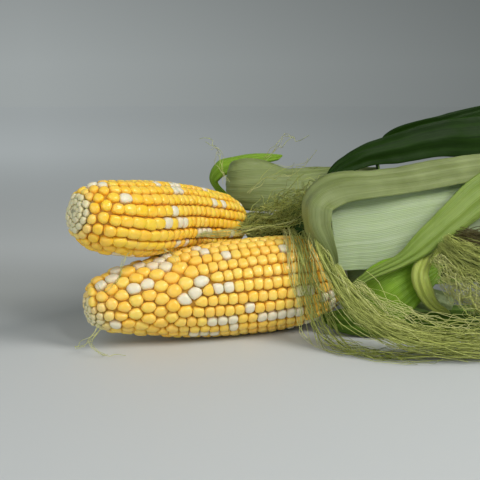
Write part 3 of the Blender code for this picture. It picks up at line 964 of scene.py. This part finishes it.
# The leaf's free edge under the butt: a green leaf, its colour darkened as painted shade.
grow_leaf("front_under_leaf", [
    (50, 2, 8, 4, 40, (-0.3, -1.0, 0.4)), (58, -5, 9, 13, 50, (-0.2, -1.0, 0.5)),
    (72, -9, 9, 17, 60, LOW_UP), (90, -10, 8, 15, 60, LOW_UP),
    (112, -8, 8, 14, 50, LOW_UP), (140, -2, 7, 12, 50, LOW_UP),
    (172, 8, 5, 5, 40, LOW_UP)],
    husk_shaded, husk_green, folds=3.0, fold_height=0.6, wave=2.0, seed=15.0,
    name="front_under_leaf_edge")

# %% Back ear's leaves
grow_leaf("back_roll_leaf", [
    (3, 73, 55, 5, 60, (-1.0, -0.3, 0.3)), (-5, 83, 63, 9, 90, (-1.0, -0.3, 0.3)),
    (-13, 82, 75, 14, 140, (-1.0, -0.3, 0.3)), (-8, 78, 85, 19, 170, (-0.4, -0.6, 1.0)),
    (3, 78, 88, 19, 170, (-0.1, -0.5, 1.0)), (14, 81, 90, 15, 160, ROLLED),
    (24, 85, 90, 11, 150, ROLLED), (31, 89, 89, 6, 120, ROLLED)],
    husk_vivid, husk_green, folds=5.0, fold_height=0.35, wave=1.0, seed=11.0)
grow_leaf("back_pale_leaf", [
    (14, 72, 69, 14, 30, (0.0, 1.0, 0.0)), (3, 71, 72, 20, 40, (-0.5, 1.0, 0.0)),
    (-3, 64, 74, 26, 50, (-1.0, 0.0, 0.0)), (4, 57, 75, 31, 60, (-0.5, -1.0, 0.1)),
    (18, 55, 76, 34, 75, LOW), (35, 59, 76, 30, 80, (0.0, -1.0, 0.6)),
    (55, 72, 78, 22, 70, (0.0, -0.8, 0.7)), (92, 90, 81, 10, 60, (0.0, -0.8, 0.7))],
    husk_silky, husk_pale, folds=7.0, fold_height=0.12, wave=1.6, wave_size=45.0, seed=12.0,
    across=49)
# A leaf behind the silk tangle, painted near-black green as painted shade for the shadow there.
grow_leaf("back_shade_leaf", [
    (12, 59, 36, 8, 30, (-0.5, -1.0, 0.0)), (17, 51, 39, 18, 30, (-0.4, -1.0, 0.0)),
    (28, 47.5, 44, 29, 30, (-0.1, -1.0, 0.2)), (42, 47, 49, 33, 30, FRONT),
    (56, 54, 56, 26, 30, FRONT), (70, 72, 61, 12, 30, FRONT)],
    husk_dark, husk_green, folds=4.0, fold_height=0.5, wave=1.5, seed=14.0)
grow_leaf("back_prop_leaf", [
    (12, 84, 47, 14, 60, (-0.4, 1.0, 0.3)), (22, 98, 38, 26, 50, (-0.3, 1.0, 0.5)),
    (38, 112, 18, 32, 40, (-0.2, 1.0, 0.7)), (62, 122, 3, 32, 25, (0.0, 0.6, 1.0)),
    (104, 128, 0.8, 26, 6, UP), (150, 134, 0.8, 16, 6, UP),
    (178, 136, 1.5, 5, 10, UP)],
    husk_green, husk_pale, folds=7.0, fold_height=0.4, wave=1.5, seed=13.0)


# %% [markdown]
# ## Shanks
# The shank is the short stalk the ear grew on, cut off behind the butt. It is a solid, slightly ridged
# stem, pale green, and it mostly hides among the leaves. A ring carried along its line makes it, with
# low ribs along it and soft swells where the leaves tore away.

# %% Shanks
def grow_shank(name, node, stations, finish):
    """`stations` are rows of (x, y, z, radius) in mm."""
    count, ring = 50, 48
    rows = smooth_curve(stations, count)
    along, sides, ups = carried_frames(rows[:, :3])
    turn = np.linspace(0.0, 2 * math.pi, ring, endpoint=False)
    ribs = 0.035 * np.sin(9 * turn[None] + 0.5 * np.sin(turn[None] * 2))
    swells = 0.03 * np.sin(np.linspace(0, 30, count))[:, None]
    ridge = 1.0 + ribs + swells
    reach = rows[:, 3:4] * ridge
    points = (rows[:, None, :3] + reach[..., None] * (np.cos(turn)[None, :, None] * sides[:, None]
                                                      + np.sin(turn)[None, :, None] * ups[:, None]))
    ends = [rows[0, :3] - along[0] * 0.4, rows[-1, :3] + along[-1] * 0.4]
    verts = list(points.reshape(-1, 3)) + ends
    ob = seed_object(name, np.array(verts) * MM, tube_faces(count, ring))
    ob.data.materials.append(finish)
    ob.data.shade_smooth()
    settle(ob, node)
    print(name, "faces:", len(ob.data.polygons))


def shank_finish():
    f = Finish("shank")
    place = f.place()
    fibre = f.noise(900.0, place, 4.0)
    cloud = f.noise(90.0, place, 2.0)
    colour = f.mix(fibre * 0.6 + cloud * 0.6 - 0.1, (0.16, 0.24, 0.05), (0.42, 0.50, 0.24))
    return f.finish(Base_Color=colour, Roughness=0.55, Normal=f.bump(fibre, 0.3))


shank = shank_finish()
grow_shank("front_shank_stem", "front_shank", [
    (65.2, 21.8, 27.8, 6.5), (76, 22, 26.5, 7.5), (92, 22, 21, 7), (108, 19, 15.5, 6.5), (124, 18, 11, 6)],
    shank)
grow_shank("back_shank_stem", "back_shank", [
    (6, 58.8, 52.6, 4.6), (14, 67, 51, 5.5), (26, 75, 48, 5.5), (40, 80, 45, 5)], shank)


# %% [markdown]
# ## Silk
# Silk is a bundle of soft threads, one from each kernel, that comes out between the butt and the husk.
# Fresh silk is pale yellow-green, a little shiny, and darker toward its ends; one bunch has dried brown.
# A bundle is a guide line with a width and a height. The tree copies the guide once per thread, lets
# each copy wander about inside the bundle and curl more toward its free end, keeps it above the table,
# and gives it a thin three-sided section. A few guides make one bundle, so threads cross each other the
# way they do when they fall.

# %% Silk tree
GUIDE_STEP = 97.0           # keeps the threads of one guide apart from the next guide's
THREAD_STEP, SEED_STEP = 7.31, 3.7      # steps through the noise, so no two threads sway alike
SWAY_GAIN = 2.6
PILE_HEIGHT = 0.0008        # how deep threads lie on each other on the table
FINE, MEDIUM, COARSE = 0.00015, 0.00017, 0.0002


def silk_tree():
    tree = Tree("silk_threads", threads=40, frizz=0.004, frizz_size=9.0, thick=0.0002, wander=2.0,
                shortest=0.55, seed=1, finish=bpy.data.materials.new("silk_default"))
    lines = tree.node("GeometryNodeMeshToCurve", None, {0: tree.input("Geometry")})
    copies = tree.node("GeometryNodeDuplicateElements", {"domain": "SPLINE"},
                       {"Geometry": lines, "Amount": tree.input("threads")})
    named = tree.node("GeometryNodeStoreNamedAttribute", {"data_type": "FLOAT", "domain": "CURVE"},
                      {"Geometry": copies, "Name": "thread"})
    guide = tree.math("MULTIPLY", tree.value("guide"), GUIDE_STEP)
    number = tree.math("ADD", copies.outputs["Duplicate Index"], guide)
    tree.group.links.new(number.outputs[0], named.inputs["Value"])
    thread, run = tree.value("thread"), tree.value("run")

    def drift(scale, shift, detail=0.0):
        """A slow sway along the thread, about -1 to 1; `shift` picks a different one."""
        spot = tree.join(tree.math("MULTIPLY", run, scale), tree.math("MULTIPLY", thread, THREAD_STEP),
                         tree.math("ADD", shift, tree.math("MULTIPLY", tree.input("seed"), SEED_STEP)))
        sway = tree.node("ShaderNodeTexNoise", None, {"Vector": spot, "Scale": 1.0, "Detail": detail})
        return tree.math("MULTIPLY", tree.math("SUBTRACT", sway.outputs[0], 0.5), SWAY_GAIN)

    def shift_along(way, spread, shift):
        amount = tree.math("MULTIPLY", tree.value(spread), drift(tree.input("wander"), shift))
        return tree.scaled(tree.value(way, "FLOAT_VECTOR"), amount)

    def total(one, two):
        return tree.node("ShaderNodeVectorMath", {"operation": "ADD"}, {0: one, 1: two})

    spread = total(shift_along("side", "broad", 0.0), shift_along("up", "deep", 20.0))
    curl = tree.join(*[drift(tree.input("frizz_size"), shift, 1.0) for shift in (40.0, 60.0, 80.0)])
    loose = tree.math("MULTIPLY", tree.input("frizz"), tree.math("ADD", 0.25, run))
    moved = tree.node("GeometryNodeSetPosition", None,
                      {"Geometry": named, "Offset": total(spread, tree.scaled(curl, loose))})
    place = tree.node("ShaderNodeSeparateXYZ", None, {0: tree.node("GeometryNodeInputPosition")}).outputs
    pile = tree.math("MULTIPLY", tree.math("ABSOLUTE", drift(6.0, 90.0)), PILE_HEIGHT)
    rest = tree.math("ADD", tree.input("thick"), pile)
    above = tree.join(place["X"], place["Y"], tree.math("MAXIMUM", place["Z"], rest))
    settled = tree.node("GeometryNodeSetPosition", None, {"Geometry": moved, "Position": above})
    length = tree.node("FunctionNodeRandomValue", {"data_type": "FLOAT"},
                       {2: tree.input("shortest"), 3: 1.0, "Seed": tree.input("seed")})
    cut = tree.node("GeometryNodeTrimCurve", {"mode": "FACTOR"},
                    {"Curve": settled, "Start": 0.0, "End": length.outputs[1]})
    thin = tree.node("FunctionNodeRandomValue", {"data_type": "FLOAT"}, {2: 0.65, 3: 1.25, "Seed": 5})
    ring = tree.node("GeometryNodeCurvePrimitiveCircle", None, {"Resolution": 3, "Radius": 1.0})
    tree.close(tree.node("GeometryNodeCurveToMesh", None, {
        "Curve": cut, "Profile Curve": ring, "Fill Caps": True,
        "Scale": tree.math("MULTIPLY", tree.input("thick"), thin.outputs[1])}))
    return tree


SILK = silk_tree()


def grow_silk(name, node, guides, finish, **values):
    """`guides` are lists of (x, y, z, half width, half height) in mm."""
    points = 28
    verts, edges, columns = [], [], {key: [] for key in ("run", "broad", "deep", "guide", "side", "up")}
    for number, stations in enumerate(guides):
        rows = smooth_curve(stations, points)
        along = unit(np.gradient(rows[:, :3], axis=0))
        side = unit(np.cross(along, (0.0, 0.0, 1.0)) + (1e-6, 0.0, 0.0))
        first = len(verts)
        verts += list(rows[:, :3] * MM)
        edges += [(first + k, first + k + 1) for k in range(points - 1)]
        columns["run"] += list(np.linspace(0.0, 1.0, points))
        columns["broad"] += list(rows[:, 3] * MM)
        columns["deep"] += list(rows[:, 4] * MM)
        columns["guide"] += [number] * points
        columns["side"] += list(side)
        columns["up"] += list(np.cross(side, along))
    ob = seed_object(name, verts, edges=edges)
    for key, column in columns.items():
        give(ob.data, key, column)
    made = SILK.grow(ob, name, finish=finish, **values)
    settle(made, node)
    print(name, "triangles:", sum(len(p.vertices) - 2 for p in made.data.polygons))


def silk_finish(name, root, end):
    f = Finish(name)
    run, thread = f.attribute("run"), f.attribute("thread")
    tone = f.noise(1.0, f.join(run * 3.0, thread * 5.17, 0.0), 2.0)
    colour = f.mix((run * 0.4 + (tone - 0.5) * 4.0 + 0.25).clip(), root, end)
    f.bsdf.inputs["Specular IOR Level"].default_value = 0.3
    return f.finish(Base_Color=colour, Roughness=tone * 0.2 + 0.32)


silk_fresh = silk_finish("silk_fresh", (0.54, 0.58, 0.16), (0.10, 0.13, 0.008))
silk_pale = silk_finish("silk_pale", (0.62, 0.62, 0.26), (0.38, 0.43, 0.08))
silk_brown = silk_finish("silk_brown", (0.09, 0.07, 0.02), (0.16, 0.15, 0.05))

# %% Front bundle on the table
grow_silk("silk_bundle_lock", "silk_bundle", [
    [(47, -3, 60, 2, 1), (47, -14, 50, 2, 1), (52, -25, 38, 4, 2), (59, -36, 27, 5, 3), (70, -45, 18, 6, 4),
     (85, -52, 11, 8, 5), (104, -53, 8, 9, 5), (128, -52, 6, 11, 5), (158, -45, 5, 13, 5),
     (190, -36, 4, 14, 4), (212, -30, 3, 12, 3)],
    [(56, -14, 40, 3, 3), (62, -25, 30, 5, 4), (70, -34, 22, 6, 4), (82, -42, 15, 8, 5), (98, -44, 10, 9, 6),
     (120, -43, 8, 11, 6), (150, -36, 6, 14, 6), (186, -26, 4, 15, 4), (212, -20, 3, 12, 3)]],
    silk_fresh, threads=84, frizz=0.006, frizz_size=7.0, thick=MEDIUM, wander=2.2, shortest=0.45, seed=1)
grow_silk("silk_bundle_stray", "silk_bundle", [
    [(46, -2, 58, 4, 3), (49, -16, 46, 6, 3), (57, -31, 32, 8, 6), (70, -42, 18, 10, 8), (92, -48, 9, 12, 6),
     (130, -46, 8, 14, 9), (170, -38, 7, 18, 9), (205, -30, 5, 18, 6)],
    [(66, -20, 32, 6, 5), (84, -34, 20, 8, 8), (110, -40, 14, 10, 8), (150, -34, 12, 12, 10),
     (200, -24, 10, 14, 8)]],
    silk_pale, threads=24, frizz=0.010, frizz_size=8.0, thick=MEDIUM, wander=2.6, shortest=0.3, seed=12)
grow_silk("silk_bundle_floor", "silk_bundle", [
    [(43, 24, 52, 3, 1), (41, 10, 54, 4, 1), (42, -8, 46, 4, 1.5), (45, -15, 30, 6, 2), (50, -24, 12, 8, 3),
     (58, -36, 3, 8, 2), (70, -44, 2, 8, 1.5), (84, -46, 1.5, 10, 1.5), (112, -46, 1.5, 12, 1.5),
     (150, -42, 1.5, 16, 1.5), (200, -36, 1.5, 16, 1.5)],
    [(36, 26, 52, 3, 1), (35, 10, 54, 3, 1), (38, -8, 46, 3, 1), (40, -16, 30, 4, 1.5), (44, -20, 13, 5, 2),
     (50, -30, 3, 6, 1.5), (62, -42, 1, 7, 1), (82, -52, 1, 7, 1), (108, -55, 1, 7, 1), (140, -53, 1, 8, 1)]],
    silk_fresh, threads=22, frizz=0.008, frizz_size=8.0, thick=MEDIUM, wander=2.2, shortest=0.25, seed=2)

# %% Bunch out of the right side
grow_silk("silk_bunch_lock", "silk_bunch", [
    [(114, -8, 54, 3, 3), (122, -17, 50, 5, 5), (136, -23, 44, 7, 8), (154, -25, 37, 9, 11),
     (178, -22, 28, 11, 12), (207, -16, 18, 12, 11)],
    [(112, -6, 50, 4, 4), (120, -16, 42, 6, 7), (134, -23, 33, 8, 9), (154, -26, 23, 10, 9),
     (180, -24, 15, 11, 8), (207, -20, 10, 12, 6)]],
    silk_fresh, threads=100, frizz=0.007, frizz_size=6.0, thick=MEDIUM, wander=1.8, seed=3)
grow_silk("silk_bunch_curls", "silk_bunch", [
    [(108, -12, 44, 6, 5), (116, -20, 36, 9, 9), (128, -26, 28, 12, 11), (146, -30, 20, 14, 11),
     (180, -28, 14, 16, 10)],
    [(112, -14, 34, 6, 6), (126, -22, 24, 10, 10), (148, -28, 16, 12, 10), (176, -26, 14, 12, 8)]],
    silk_pale, threads=36, frizz=0.018, frizz_size=7.0, thick=0.00016, wander=3.0, shortest=0.4, seed=7)
grow_silk("silk_bunch_dry", "silk_bunch", [
    [(112, 8, 52, 3, 3), (124, 2, 53, 6, 6), (140, 1, 51, 9, 8), (165, 3, 48, 10, 9), (203, 7, 42, 10, 9)]],
    silk_brown, threads=140, frizz=0.008, frizz_size=8.0, thick=COARSE, wander=2.4, seed=4)

# %% Tangle between the ears
grow_silk("silk_back_tangle", "silk_back", [
    [(4, 36, 52, 5, 3), (14, 38, 56, 8, 6), (26, 34, 62, 10, 9), (38, 24, 72, 9, 9), (50, 10, 84, 5, 5)],
    [(-4, 30, 56, 3, 3), (10, 34, 53, 6, 4), (26, 30, 56, 9, 6), (40, 20, 64, 8, 8), (50, 2, 76, 4, 5)]],
    silk_fresh, threads=70, frizz=0.014, frizz_size=6.0, thick=0.00016, wander=2.6, seed=5, shortest=0.35)
grow_silk("silk_back_wisps", "silk_back", [
    [(10, 44, 72, 5, 3), (22, 44, 84, 12, 10), (36, 34, 92, 14, 10), (50, 16, 96, 12, 8)],
    [(-2, 50, 78, 4, 4), (-8, 56, 92, 6, 6), (-16, 56, 102, 6, 6)],
    [(20, 56, 90, 4, 3), (32, 52, 102, 6, 4), (46, 48, 108, 6, 4)]],
    silk_pale, threads=4, frizz=0.007, frizz_size=4.0, thick=0.00014, wander=2.0, seed=8, shortest=0.4)
grow_silk("silk_on_front_ear", "silk_bundle", [
    [(-36, -2, 50, 2, 1), (-20, 0, 54, 3, 1), (0, 4, 55, 4, 1), (20, 8, 57, 5, 2), (38, 8, 60, 6, 3),
     (48, 2, 66, 5, 3)],
    [(31, 24, 52, 3, 1), (31, 8, 55, 4, 1), (32, -10, 47, 5, 1), (34, -17, 34, 6, 1.5), (37, -19, 18, 6, 1.5),
     (42, -24, 4, 6, 1.5), (50, -34, 1, 7, 1)]],
    silk_pale, threads=14, frizz=0.006, frizz_size=4.0, thick=FINE, wander=2.0, seed=6, shortest=0.35)
grow_silk("silk_tip_strays", "silk_bundle", [
    [(-50, -37, 52, 2, 1), (-53, -42, 43, 3, 2), (-57, -42, 35, 3, 2), (-66, -40, 33, 2, 1)],
    [(-34, -20, 54, 3, 1), (-30, -24, 47, 4, 1), (-24, -26, 43, 3, 1)],
    [(-66, -36, 14, 2, 1), (-70, -42, 6, 3, 2), (-64, -46, 1.5, 4, 1), (-52, -42, 1, 3, 1)],
    [(-64, -34, 12, 2, 1), (-74, -42, 6, 2, 2), (-80, -46, 1, 2, 1)]],
    silk_pale, threads=3, frizz=0.004, frizz_size=4.0, thick=0.00014, wander=2.0, seed=9, shortest=0.6)
